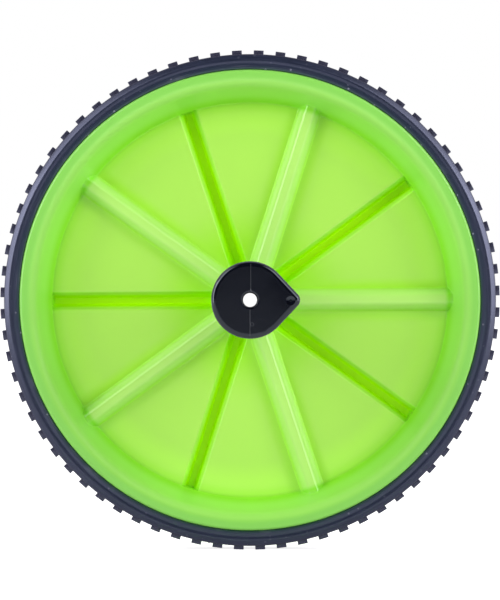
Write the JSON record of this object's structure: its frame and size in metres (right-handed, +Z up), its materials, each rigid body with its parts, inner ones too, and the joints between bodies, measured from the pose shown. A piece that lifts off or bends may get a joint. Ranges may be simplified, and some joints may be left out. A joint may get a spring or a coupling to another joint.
{
  "type": "ab wheel roller",
  "caption": "Exercise roller: a dished, ribbed lime wheel with a black block-tread tyre, turning on a tube axle between two drop-shaped finger-grip handles.",
  "frame": {"origin": "centre of the wheel, on the axle's line, midway between the handles' ends", "axes": "+Y along the axle from the right handle to the left handle, +X forwards (the way the finger ridges point), +Z up"},
  "size_m": [0.185, 0.2526, 0.185],
  "materials": {
    "lime_plastic": "satin moulded",
    "black_rubber": "matte moulded",
    "black_grip": "satin moulded",
    "zinc_steel": "bright zinc",
    "white_acetal": "natural"
  },
  "bodies": {
    "axle_and_handles": {"axle_tube": "zinc_steel", "handle_right": "black_grip", "handle_left": "black_grip", "thrust_washer_right": "zinc_steel", "thrust_washer_left": "zinc_steel"},
    "wheel": {"wheel_disc": "lime_plastic", "tyre": "black_rubber", "hub_bush_right": "white_acetal", "hub_bush_left": "white_acetal"}
  },
  "joints": [
    {"name": "wheel_spin", "type": "hinge", "parent": "axle_and_handles", "child": "wheel", "pos_m": [0, 0, 0], "axis": [0, 1, 0], "continuous": true}
  ]
}
